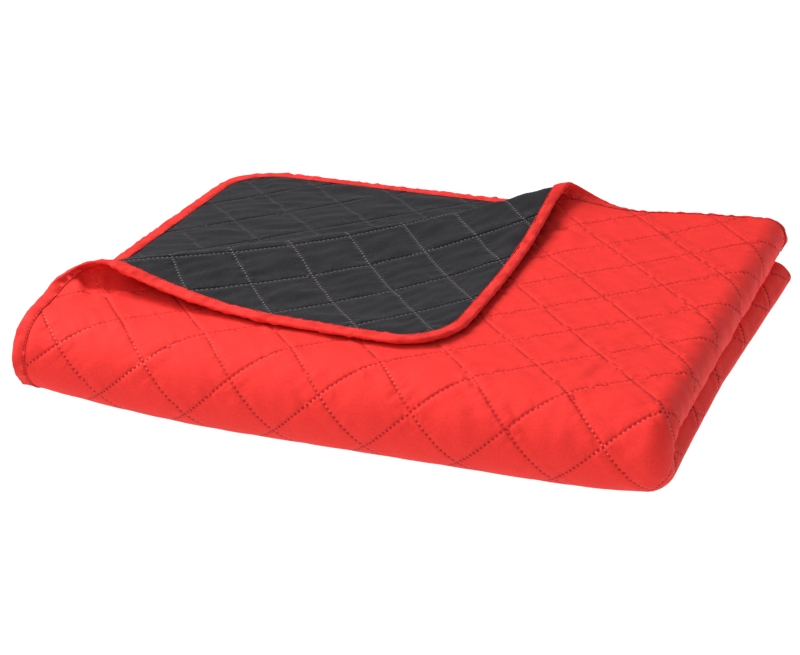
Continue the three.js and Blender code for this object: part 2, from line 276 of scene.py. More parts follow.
# everything past the fold's line goes round under and comes back
def bentUnder(c, z, fold):
    line = cloth[fold]
    centre = -cloth["layers"][fold] * cloth["pitch"]
    half = -math.pi / 2 * centre
    angle = ramp(c, line - half, line + half) * math.pi
    radius = z - centre
    onArc = (c > line - half) & (c < line + half)
    past = c >= line + half
    newC = np.where(onArc, line - half + radius * np.sin(angle), np.where(past, 2 * line - c, c))
    newZ = np.where(onArc, centre + radius * np.cos(angle), np.where(past, 2 * centre - z, z))
    return newC, newZ


# soft troughs below 0 and ridges above
def creases(u, v, rows):
    total = np.zeros(np.broadcast(u, v).shape)
    for (u0, v0), (u1, v1), height, width in rows:
        length2 = (u1 - u0) ** 2 + (v1 - v0) ** 2
        near = np.clip(((u - u0) * (u1 - u0) + (v - v0) * (v1 - v0)) / length2, 0.0, 1.0)
        gap = np.hypot(u - u0 - near * (u1 - u0), v - v0 - near * (v1 - v0))
        fade = np.sin(math.pi * (creaseFade["from"] + creaseFade["span"] * near)) ** creaseFade["power"]
        total = total + height * fade * np.exp(-(gap / width) ** 2)
    return total


# dome and lean of the crest's left end, and the curl of the layers under it
def leftEnd(u, v, z, upper):
    dome = curl["domeRise"] * np.exp(-((v - curl["domeAt"]) / curl["domeSpread"]) ** 2)
    dome = (dome - curl["domeFlatten"] * np.maximum(z - curl["domeTop"], 0.0)) * upper
    z = z + dome * ramp(-u, -curl["domeFade"], 0.0)
    leaning = ramp(z, curl["leanFrom"], curl["leanTo"]) ** curl["leanBend"]
    leaning = leaning * ramp(-u, -curl["leanFade"], 0.0)
    u = u + curl["lean"] * leaning * ramp(v, *curl["leanAlong"])
    raised = curl["height"] * ramp(-u, -curl["length"], 0.0) ** 2 * ramp(v, curl["from"], curl["to"])
    squashed = curl["squash"] * np.clip(z / cloth["topLevel"], 0.0, curl["squashMost"])
    return u, np.maximum(z + raised * (1.0 - squashed), 0.0)


# flat cloth to its place in the stack
def foldedPlace(u, v, n):
    u, v = roundedCorner(u, v)
    n = n + creases(u, v, handCreases)
    second = ramp(v, cloth["halfFold"], 2 * cloth["halfFold"])
    u, v, z = turnedCorner(u, v, n)
    u = u + second * cloth["secondSlip"]
    v, z = bentUnder(v, z, "halfFold")
    u, z = bentUnder(u, z, "centreFold")
    reach = np.interp(v, lobes["along"], lobes["reach"])
    u, z = bentUnder(u - reach, z, "lobeFold")
    u = u + reach
    outBack = ramp(u, lobes["backFrom"], cloth["lobeFold"])
    rolling = ramp(u, *lobes["rollFrom"]) * (v < cloth["frontFold"])
    rolled = ramp(-v, -lobes["rollDepth"], 0.0) ** 2 * rolling
    v = v - lobes["rollBack"] * ramp(-v, -lobes["rollBackDepth"], 0.0) * rolling
    v = v - lobes["upperBack"] * ramp(-v, -lobes["upperDepth"], 0.0) * outBack
    v = v + lobes["lowerBack"] * ramp(v, lobes["lowerDepth"], cloth["halfFold"]) * outBack
    v, z = bentUnder(v, z, "frontFold")
    z = z + cloth["topLevel"]
    upper = ramp(z, 0.5 * cloth["topLevel"], cloth["topLevel"])
    z = z - lobes["rollDown"] * rolled * upper
    u = u - lobes["rollIn"] * rolled * ramp(u - cloth["lobeFold"], *lobes["rollInOver"])
    u, z = leftEnd(u, v, z, upper)
    end = (u - lobes["noseFrom"]) / (cloth["lobeFold"] - lobes["noseFrom"])
    rise = lobes["rise"] * (1.0 - lobes["riseDrop"] * ramp(v, *lobes["riseDropOver"]))
    z = z + rise * np.clip(end, 0.0, lobes["riseMost"]) ** 2 * np.maximum(lobes["nose"] - z, 0.0)
    return cloth["left"] + u, cloth["back"] - v, z


waves = {"count": 14, "spread": (0.7, 1.5), "level": 3.7}


# smooth unevenness: a sum of seeded waves of about one wavelength
def unevenness(u, v, wavelength, seed):
    dice = np.random.default_rng(seed)
    total = np.zeros(np.broadcast(u, v).shape)
    for _ in range(waves["count"]):
        angle = dice.uniform(0, 2 * math.pi)
        size = wavelength * dice.uniform(*waves["spread"])
        phase = dice.uniform(0, 2 * math.pi)
        place = u * math.cos(angle) + v * math.sin(angle)
        total = total + np.sin(2 * math.pi * place / size + phase)
    return total / waves["level"]


def wrinkles(row, u, v):
    height, wavelength, seed = row
    return height * unevenness(u, v, wavelength, seed)


def seamGap(x):
    return abs(x - np.round(x)) * quilting["side"]


# soft pillow of one diamond: 0 on a seam, 1 in the middle
def pillow(u, v):
    p, q = seamPlace(u, v)
    soft = quilting["softness"]
    rise = 1.0
    for gap in (seamGap(p), seamGap(q)):
        away = np.sqrt(gap * gap + soft ** 2) - soft
        rise = rise * (1.0 - np.exp(-away / quilting["swell"]))
    return rise / quilting["full"]


gathering = {
    "fade": 10.0,              # mm from the seam
    "clear": 3.0,              # none right on the seam
    "waves": (3.7, 5.9),       # on one side of a diamond
    "swell": (0.6, 0.4, 0.83),   # mean, change, and waves of the change
    "shift": (1.7, 0.6),       # of the second wave and of the change, in shifts of the first
    "wander": (12.9898, 7.7, 43.7),  # shift from seam to seam: step of a seam, of a seed, and reach
}


# small gathers that run out square from the seams
def gathers(u, v, seed):
    p, q = seamPlace(u, v)
    first, second = gathering["waves"]
    mean, change, slow = gathering["swell"]
    secondShift, slowShift = gathering["shift"]
    seamStep, seedStep, reach = gathering["wander"]
    total = np.zeros(np.broadcast(u, v).shape)
    for k, (a, b) in enumerate(((p, q), (q, p))):
        fade = np.exp(-seamGap(a) / gathering["fade"]) * ramp(seamGap(a), 0.0, gathering["clear"])
        wander = np.sin(seamStep * np.round(a) + seedStep * seed + k) * reach
        wave = np.sin(2 * math.pi * (b * first + wander))
        wave = wave + np.sin(2 * math.pi * (b * second + secondShift * wander))
        total = total + fade * wave * (mean + change * np.sin(2 * math.pi * (b * slow + slowShift * wander)))
    return total


# lines of the sheets' grids, in mm
grid = {
    "closest": 0.9,            # lines that are nearer are left out
    "rim": (1.3, 12.5),        # edge of a panel, and inner edge of the rim that the binding covers
    "arcLines": {"halfFold": 4, "centreFold": 8, "lobeFold": 10, "frontFold": 14},
}


# every second fine line, and each coarse one, also goes to the inner side of the sheet
def gridLines(fine, coarse, arcs, ends):
    lines = {}
    for lo, hi, step in fine:
        count = int(round((hi - lo) / step))
        for k in range(count + 1):
            lines[round(mix(lo, hi, k / count), 4)] = k % 2 == 0 or k == count
    spans = [(lo, hi, int(round((hi - lo) / step))) for lo, hi, step in coarse]
    spans += [(middle - half, middle + half, count) for middle, half, count in arcs]
    for lo, hi, count in spans:
        for x in np.linspace(lo, hi, count + 1):
            lines.setdefault(round(float(x), 4), True)
    for x in ends:
        lines[x] = True
    ordered = sorted(x for x in lines if ends[0] <= x <= ends[-1])
    kept = [ordered[0]]
    for x in ordered[1:]:
        clear = x - kept[-1] > grid["closest"]
        if clear or (x in ends and kept[-1] in ends):
            kept.append(x)
        elif x in ends:
            kept[-1] = x
    return np.array(kept), np.array([lines[x] for x in kept])


# middle, half length and number of steps of a fold's arc, or of its mirror image past another fold
def foldArc(fold, mirror=None):
    middle = 2 * cloth[mirror] - cloth[fold] if mirror else cloth[fold]
    half = math.pi / 2 * cloth["layers"][fold] * cloth["pitch"]
    return middle, half, grid["arcLines"][fold]


def panelEnds(size):
    outer, inner = grid["rim"]
    return outer, inner, size - inner, size - outer


arcsU = [foldArc("lobeFold"), foldArc("centreFold"), foldArc("lobeFold", "centreFold")]
arcsV = [foldArc("frontFold"), foldArc("halfFold"), foldArc("frontFold", "halfFold")]
endsU, endsV = panelEnds(cloth["width"]), panelEnds(cloth["length"])


def softObject(name, places, faces):
    mesh = bpy.data.meshes.new(name)
    mesh.from_pydata((places / mmPerMetre).tolist(), [], faces)
    mesh.polygons.foreach_set("use_smooth", np.ones(len(mesh.polygons), dtype=bool))
    mesh.update()
    piece = bpy.data.objects.new(name, mesh)
    bpy.context.collection.objects.link(piece)
    print(name, len(places), "points", sum(len(f) - 2 for f in faces), "triangles")
    return piece


def unwrap(piece, layer, places):
    piece.data.uv_layers.new(name=layer).data.foreach_set("uv", places.ravel())
    piece.data.update()


# one panel as a thin closed sheet: fine outside, coarser inside, closed round its rim
def panelSheet(name, uGrid, vGrid, outside, inside, faceUp):
    (uAll, uKeep), (vAll, vKeep) = uGrid, vGrid
    columns, rows = len(uAll), len(vAll)
    vv, uu = np.meshgrid(vAll, uAll, indexing="ij")
    vi, ui = np.meshgrid(vAll[vKeep], uAll[uKeep], indexing="ij")
    flatU = np.concatenate([uu.ravel(), ui.ravel()])
    flatV = np.concatenate([vv.ravel(), vi.ravel()])
    height = np.concatenate([outside(uu, vv).ravel(), np.full(ui.size, inside)])
    places = np.stack(foldedPlace(flatU, flatV, height), axis=1)
    innerColumns, innerRows = int(uKeep.sum()), int(vKeep.sum())
    innerU, innerV = np.cumsum(uKeep) - 1, np.cumsum(vKeep) - 1

    def quads(first, wide, tall, flip):
        j, i = np.meshgrid(np.arange(tall - 1), np.arange(wide - 1), indexing="ij")
        a = (first + j * wide + i).ravel()
        around = (a, a + wide, a + wide + 1, a + 1) if flip else (a, a + 1, a + wide + 1, a + wide)
        return np.stack(around, axis=1)

    def outerAt(i, j):
        return j * columns + i

    def innerAt(i, j):
        return rows * columns + int(innerV[j]) * innerColumns + int(innerU[i])

    faces = quads(0, columns, rows, faceUp).tolist()
    faces += quads(rows * columns, innerColumns, innerRows, not faceUp).tolist()
    rim = [(i, 0) for i in range(columns - 1)] + [(columns - 1, j) for j in range(rows - 1)]
    rim += [(i, rows - 1) for i in range(columns - 1, 0, -1)] + [(0, j) for j in range(rows - 1, 0, -1)]
    held = innerAt(0, 0)
    for here, nextOne in zip(rim, rim[1:] + rim[:1]):
        strip = [(outerAt(*here), outerAt(*nextOne), held)]
        if uKeep[nextOne[0]] and vKeep[nextOne[1]]:
            strip.append((outerAt(*nextOne), innerAt(*nextOne), held))
            held = innerAt(*nextOne)
        faces += strip if faceUp else [tuple(reversed(s)) for s in strip]

    piece = softObject(name, places, faces)
    corners = np.zeros(len(piece.data.loops), dtype=np.int32)
    piece.data.loops.foreach_get("vertex_index", corners)
    unwrap(piece, "cloth", np.stack([flatU, flatV], axis=1)[corners] / mmPerMetre)
    unwrap(piece, "quilting", np.stack(seamPlace(flatU, flatV), axis=1)[corners])
    return piece


def edgeGap(u, v):
    return np.minimum(np.minimum(u, v), np.minimum(cloth["width"] - u, cloth["length"] - v))


facePanel = {
    "hidden": 1.65,            # half of the quilt where layers lie on each other
    "inside": 0.45,            # inner side of the sheet
    "pinched": 0.8,            # under the binding
    "pinchedOver": (9.0, 17.0),
    "seam": 0.6,
    "relief": 2.0,             # rise of a diamond over its seams
    "flatRelief": 0.75,        # and on the flat top
    "restRelief": 0.3,         # and where the cloth rests on the floor
    "gather": 0.5,
    "gatherSeed": 3,
    "lobeGather": 0.4,         # more of it near the lobes
    # height, wavelength and seed
    "wave": (0.14, 46.0, 5),
    "streak": (0.38, 15.0, 6),       # soft wrinkles that run with the back edge
    "frontStreak": (0.2, 13.0, 16),  # and down the front
    "lobeStreak": (0.4, 10.5, 7),    # more of them near the lobes
    "streakDraw": 0.3,         # width of a wrinkle as a share of its length
    "lobeDraw": 0.25,
    "atSeam": 0.3,             # share of the wrinkles that is left on a seam
    # where one gives way to the next, along v
    "flatTo": (340.0, 430.0),
    "frontFrom": (385.0, 425.0),
    "restFrom": (452.0, 498.0),
    "hiddenFromV": (885.0, 903.0),
    # and along u
    "lobeFrom": (410.0, 500.0),
    "hiddenFromU": (560.0, 590.0),
    # grid: from, to and step
    "fineU": [(1.3, 574.0, 2.9)],
    "coarseU": [(574.0, 2098.7, 45.0)],
    "fineV": [(1.3, 518.0, 2.9), (518.0, 890.0, 6.0)],
    "coarseV": [(920.0, 1798.7, 45.0)],
}


def faceHeight(u, v):
    look = facePanel
    rise = pillow(u, v)
    nearLobe = ease(u, *look["lobeFrom"])
    loose = look["gather"] * gathers(u, v, look["gatherSeed"]) * (1.0 + look["lobeGather"] * nearLobe)
    loose = loose + wrinkles(look["wave"], u, v) * rise
    streaks = wrinkles(look["streak"], look["streakDraw"] * u, v) * mix(look["atSeam"], 1.0, rise)
    streaks = streaks + nearLobe * wrinkles(look["lobeStreak"], look["lobeDraw"] * u, v)
    downFront = wrinkles(look["frontStreak"], u, look["streakDraw"] * v)
    loose = loose + mix(streaks, downFront, ease(v, *look["frontFrom"]))
    relief = mix(look["flatRelief"], look["relief"], ease(v, *look["flatTo"]))
    outer = look["seam"] + relief * rise + loose
    resting = look["hidden"] - look["restRelief"] * (1.0 - np.clip(rise, 0, 1))
    seen = (1 - ease(u, *look["hiddenFromU"])) * (1 - ease(v, *look["hiddenFromV"]))
    height = mix(look["hidden"], mix(outer, resting, ease(v, *look["restFrom"])), seen)
    return mix(look["pinched"], height, ease(edgeGap(u, v), *look["pinchedOver"]))


faceU = gridLines(facePanel["fineU"], facePanel["coarseU"], arcsU[1:], endsU)   # fine across the first arcs
faceV = gridLines(facePanel["fineV"], facePanel["coarseV"], arcsV[1:], endsV)
face = panelSheet("face_cloth", faceU, faceV, faceHeight, facePanel["inside"], True)

backPanel = {
    "hidden": 1.65,
    "inside": 0.45,
    "pinched": 0.8,
    "pinchedOver": (9.0, 17.0),
    "seam": 0.65,
    "relief": 1.85,
    "gather": 0.36,
    "gatherSeed": 8,
    "wave": (0.55, 38.0, 9),
    "streak": (0.55, 17.0, 12),  # soft wrinkles that run with the crest
    "streakDraw": 0.3,
    "streakSlant": 0.25,
    "atSeam": 0.3,
    "shownTo": 350.0,          # the turned over corner and the second layer show up to here
    "shownPast": (-40.0, -5.0),  # and from here on, past the corner's fold line
    "creases": [               # on the second layer
        ((24, 1659), (90, 1728), 1.5, 8),
        ((37, 1737), (118, 1780), 1.3, 7),
        ((114, 1672), (181, 1744), 1.4, 8),
        ((37, 1608), (80, 1642), 1.2, 7),
        ((114, 1741), (198, 1776), 1.1, 6),
    ],
    "fineU": [(1.3, 392.0, 2.75)],
    "coarseU": [(392.0, 2098.7, 45.0)],
    "fineV": [(1.3, 392.0, 2.75), (1450.0, 1798.7, 2.75)],
    "coarseV": [(392.0, 1450.0, 45.0)],
}


def backHeight(u, v):
    look = backPanel
    rise = pillow(u, v)
    loose = look["gather"] * gathers(u, v, look["gatherSeed"]) + wrinkles(look["wave"], u, v) * rise
    loose = loose + creases(u, v, look["creases"])
    second = v > cloth["halfFold"]
    along, past = cornerPlace(u, np.where(second, 2 * cloth["halfFold"] - v, v))[:2]
    streaks = wrinkles(look["streak"], look["streakDraw"] * along, past + look["streakSlant"] * along)
    loose = loose + streaks * mix(look["atSeam"], 1.0, rise)
    outer = look["seam"] + look["relief"] * rise + loose
    shown = (u < look["shownTo"]) & ((v < look["shownTo"]) | second)
    seen = np.where(shown, ease(past, *look["shownPast"]), 0.0)
    height = mix(look["hidden"], outer, seen)
    return -mix(look["pinched"], height, ease(edgeGap(u, v), *look["pinchedOver"]))


backU = gridLines(backPanel["fineU"], backPanel["coarseU"], arcsU, endsU)
backV = gridLines(backPanel["fineV"], backPanel["coarseV"], arcsV, endsV)
back = panelSheet("back_cloth", backU, backV, backHeight, -backPanel["inside"], False)

binding = {
    "width": 11.5,
    "wall": 1.0,
    "half": 2.15,              # half thickness over the quilt
    "inner": 1.2,
    "rim": 0.0,
    "stitchInset": 10.3,
    "lip": 0.1,                # the inner edge stands off the quilt
    # from there to the rim: inset from a named line, and height over half
    "section": [
        ("width", -0.25, -0.5),
        ("stitchInset", 0.45, -0.2),
        ("stitchInset", 0.0, -0.5),
        ("stitchInset", -0.9, -0.05),
        ("rim", 6.0, 0.12),
        ("rim", 3.0, 0.05),
        ("rim", 1.2, -0.25),
        ("rim", 0.35, -0.9),
    ],
    "crinkle": 0.8,
    "crinkleTo": 11.0,         # the inner edge lies flat
    "crinkleWaves": ((0.6, 0.8, 11.0, 21), (0.4, 1.2, 6.5, 22)),   # share, draw across, wavelength, seed
    # fine steps up to a place on each side, coarse ones past it
    "fine": {"left": (560.0, 2.6), "front": (600.0, 2.6), "right": (100.0, 4.0), "back": (600.0, 2.6)},
    "coarse": 6.0,
    "closest": 1.0,            # to the end of a side
    "cornerSteps": 14,
}
wallPoints = 2                 # the last points of the section are the inside of its wall


# section from the upper inner edge round the rim to the lower one: inset from the rim and height
def bindingSection():
    inner, wall = binding["inner"], binding["wall"]
    side = [(binding["width"], inner + binding["lip"])]
    side += [(binding[line] + inset, binding["half"] + n) for line, inset, n in binding["section"]]
    around = side + [(binding["rim"], 0.0)] + [(inset, -n) for inset, n in reversed(side)]
    return np.array(around + [(wall, -inner), (wall, inner)])


# once round the edge: place, direction inwards, and the length run so far
def bindingRing():
    width, length, r = cloth["width"], cloth["length"], cloth["cornerRadius"]

    def side(name, size):
        lo, hi, closest = r, size - r, binding["closest"]
        fineTo, fineStep = binding["fine"][name]
        xs = list(np.arange(lo, fineTo, fineStep)) + list(np.arange(fineTo, hi, binding["coarse"]))
        return [lo] + [x for x in xs if lo + closest < x < hi - closest] + [hi]

    def turn(cu, cv, startAngle):
        steps = binding["cornerSteps"]
        angles = [math.radians(startAngle - 90 * (k / steps)) for k in range(1, steps)]
        return [(cu + r * math.cos(a), cv + r * math.sin(a), -math.cos(a), -math.sin(a)) for a in angles]

    rows = [(0.0, v, 1.0, 0.0) for v in side("left", length)]
    rows += turn(r, length - r, 180)
    rows += [(u, length, 0.0, -1.0) for u in side("front", width)]
    rows += turn(width - r, length - r, 90)
    rows += [(width, v, -1.0, 0.0) for v in reversed(side("right", length))]
    rows += turn(width - r, r, 0)
    rows += [(u, 0.0, 0.0, 1.0) for u in reversed(side("back", width))]
    rows += turn(r, r, 270)
    rows = np.array(rows)
    steps = np.hypot(np.diff(rows[:, 0], append=rows[0, 0]), np.diff(rows[:, 1], append=rows[0, 1]))
    return rows, np.concatenate([[0.0], np.cumsum(steps)])


# one U section carried round the four sides and the rounded corners
def bindingObject():
    rows, runs = bindingRing()
    around = bindingSection()
    count, size = len(rows), len(around)
    inset, n = around[:, 0], around[:, 1]
    u = rows[:, None, 0] + rows[:, None, 2] * inset[None]
    v = rows[:, None, 1] + rows[:, None, 3] * inset[None]
    along = runs[:-1, None] + 0.0 * inset[None]
    crinkle = sum(share * unevenness(along, draw * inset[None], wavelength, seed)
                  for share, draw, wavelength, seed in binding["crinkleWaves"])
    loose = (np.arange(size) < size - wallPoints) & (inset < binding["crinkleTo"])
    height = n[None] + np.where(loose, binding["crinkle"] * crinkle * np.sign(n)[None], 0.0)
    squareU, squareV = squareCorner(u, v)
    places = np.stack(foldedPlace(squareU.ravel(), squareV.ravel(), height.ravel()), axis=1)
    j, k = np.meshgrid(np.arange(count), np.arange(size), indexing="ij")
    nextJ, nextK = (j + 1) % count, (k + 1) % size
    faces = np.stack([j * size + k, j * size + nextK, nextJ * size + nextK, nextJ * size + k], axis=2)
    piece = softObject("binding_tape", places, faces.reshape(-1, 4).tolist())

    across = np.concatenate([[0.0], np.cumsum(np.hypot(np.diff(inset), np.diff(n)))])
    onStitch = inset[:size - wallPoints] == binding["stitchInset"]
    binding["stitchRows"] = across[:size - wallPoints][onStitch] / mmPerMetre
    nextAcross = np.where(nextK == 0, across[-1] + 2 * binding["inner"], across[nextK])
    flatAlong = np.stack([runs[j], runs[j], runs[j + 1], runs[j + 1]], axis=2)
    flatAcross = np.stack([across[k], nextAcross, nextAcross, across[k]], axis=2)
    unwrap(piece, "tape", np.stack([flatAlong, flatAcross], axis=3) / mmPerMetre)
    return piece


tape = bindingObject()


# faces of a closed mesh point outwards
def outwards(piece):
    mesh = piece.data
    mesh.calc_loop_triangles()
    corners = np.zeros(len(mesh.loop_triangles) * 3, dtype=np.int32)
    mesh.loop_triangles.foreach_get("vertices", corners)
    places = np.zeros(len(mesh.vertices) * 3)
    mesh.vertices.foreach_get("co", places)
    a, b, c = (places.reshape(-1, 3)[corners.reshape(-1, 3)[:, k]] for k in range(3))
    volume = np.einsum("ij,ij->i", a, np.cross(b, c)).sum() / 6.0
    if volume < 0:
        mesh.flip_normals()
    print(piece.name, "holds", round(abs(volume) * 1e6), "cm3", "turned" if volume < 0 else "")


for piece in (face, back, tape):
    outwards(piece)


def addNode(tree, kind, **values):
    node = tree.nodes.new(kind)
    for key, value in values.items():
        setattr(node, key, value)
    return node


def connect(tree, source, socket):
    if hasattr(source, "is_output"):
        tree.links.new(source, socket)
    else:
        socket.default_value = source


def sums(tree, operation, first, second=None, third=None):
    node = addNode(tree, "ShaderNodeMath", operation=operation)
    for value, socket in zip((first, second, third), node.inputs):
        if value is not None:
            connect(tree, value, socket)
    return node.outputs[0]


def distance(tree, first, second):
    squares = sums(tree, "MULTIPLY_ADD", first, first, sums(tree, "MULTIPLY", second, second))
    return sums(tree, "SQRT", squares)


def smoothStep(tree, value, lo, hi, outLo=0.0, outHi=1.0):
    node = addNode(tree, "ShaderNodeMapRange", interpolation_type="SMOOTHSTEP")
    names = ("Value", "From Min", "From Max", "To Min", "To Max")
    for source, name in zip((value, lo, hi, outLo, outHi), names):
        connect(tree, source, node.inputs[name])
    return node.outputs["Result"]


def blendColour(tree, amount, first, second):
    node = addNode(tree, "ShaderNodeMix", data_type="RGBA", blend_type="MIX")
    connect(tree, amount, node.inputs["Factor"])
    connect(tree, first, node.inputs["A"])
    connect(tree, second, node.inputs["B"])
    return node.outputs["Result"]


def noiseOf(tree, vector, row):
    node = addNode(tree, "ShaderNodeTexNoise")
    connect(tree, vector, node.inputs["Vector"])
    for value, name in zip(row, ("Scale", "Detail", "Roughness")):
        node.inputs[name].default_value = value
    return node.outputs["Fac"]


# place on one of the cloth's flat maps, and its two parts
def flatPlace(tree, layer):
    place = addNode(tree, "ShaderNodeUVMap", uv_map=layer).outputs[0]
    parts = addNode(tree, "ShaderNodeSeparateXYZ")
    tree.links.new(place, parts.inputs[0])
    return place, parts.outputs[0], parts.outputs[1]


def newMaterial(name):
    material = bpy.data.materials.new(name)
    material.use_nodes = True
    tree = material.node_tree
    return material, tree, tree.nodes["Principled BSDF"]


# height is in mm
def raiseSurface(tree, shader, height):
    bump = addNode(tree, "ShaderNodeBump")
    bump.inputs["Strength"].default_value = 1.0
    bump.inputs["Distance"].default_value = 1.0 / mmPerMetre
    tree.links.new(height, bump.inputs["Height"])
    tree.links.new(bump.outputs[0], shader.inputs["Normal"])


sheenRough = 0.45


def clothSheen(shader, look):
    shader.inputs["Sheen Weight"].default_value = look["sheen"]
    shader.inputs["Sheen Roughness"].default_value = sheenRough
    shader.inputs["Sheen Tint"].default_value = look["sheenTint"]
    shader.inputs["Specular IOR Level"].default_value = look["specular"]


redCloth = {
    "colour": (0.82, 0.033, 0.027, 1.0),
    # darker tone, used for the random tone and for the painted shade along the seams
    "deep": (0.745, 0.027, 0.022, 1.0),
    "dot": (0.34, 0.004, 0.003, 1.0),
    "paintedGlint": (0.90, 0.16, 0.14, 1.0),     # painted glint: pale highlight painted between the dots, where the shiny welds catch the light
    "glintFrom": (0.38, 0.40),            # along v in metres, round the brow of the front
    "glintTo": (0.44, 0.46),
    "rough": 0.80,
    "dotRough": 0.85,
    "dotGloss": 0.12,
    "specular": 0.2,
    "flatDots": (0.08, 0.42),  # dots on the flat top show this much, on p and on q seams
    "secondDots": 1.0,         # and on the second layer
    "sheen": 0.03,
    "sheenTint": (1.0, 0.35, 0.33, 1.0),
    "dotSize": 0.85,
    "groove": -0.05,
    "seamShade": 0.24,
    "pucker": 1.3,
    "streak": 0.35,
}
charcoalCloth = {
    "colour": (0.0245, 0.0228, 0.0263, 1.0),
    # darker tone, used for the random tone and for the painted shade along the seams
    "deep": (0.0138, 0.0130, 0.0148, 1.0),
    # weld dots in pale grey: partly their own colour, partly a painted glint on the shiny welds; weak on the
    # second layer, and the q dots are kept bold so the seam on the crest's fold reads as a painted highlight
    # along the ridge
    "dot": (0.20, 0.175, 0.175, 1.0),
    "rough": 0.72,
    "dotRough": 0.5,
    "dotGloss": 0.5,
    "specular": 0.1,
    "flatDots": (0.9, 0.65),
    "secondDots": 0.2,
    "sheen": 0.10,
    "sheenTint": (0.75, 0.74, 0.78, 1.0),
    "dotSize": 0.5,
    "groove": -0.32,
    "seamShade": 0.45,
    "pucker": 1.6,
    "streak": 0.4,
}

# what both cloths share: ranges in mm from a seam or a dot, and heights in mm, unless a note says otherwise
quiltedFinish = {
    "boldFromV": (0.36, 0.49),     # metres along v, from where the dots are bold
    "boldFromU": (0.46, 0.53),
    "secondFromV": (1.0, 1.2),
    "dotEdge": 0.5,
    "dotCoatRough": 0.16,          # roughness of the shine on a dot
    "dimple": (0.3, 1.8),
    "dimpleDepth": -0.22,
    "grooveTo": 3.2,
    "shade": (0.2, 2.2),
    "paintedGlint": (0.25, 0.7),
    "ripple": (1.0, 14.0),
    "rippleHeight": 0.55,
    "rippleLeft": 0.25,            # share in the middle of a diamond
    "napHeight": 0.10,
    "puckerFrom": (0.0, 2.5),
    "puckerTo": (3.0, 13.0),
    "puckerSteps": (5.7, 8.3),     # change from one p seam or q seam to the next
    "puckerAlong": 9.0,            # puckers on one side of a diamond
    "puckerAcross": 0.03,          # slow change away from the seam
    "streakDraw": (0.22, 1.0, 1.0),  # draws the noise out along u
    "toneShares": (0.7, 0.3),      # nap and cloud
    "tone": (0.35, 0.62),          # their level, from deep to full colour
    "patch": (0.46, 0.60),         # level of the noise where glints show
    # scale, detail and roughness
    "puckerNoise": (1.0, 1.0, 0.5),
    "streakNoise": (190.0, 3.0, 0.6),
    "cloudNoise": (28.0, 3.0, 0.55),
    "napNoise": (520.0, 3.0, 0.65),
    "rippleNoise": (150.0, 2.0, 0.5),
    "patchNoise": (20.0, 1.0, 0.5),
}


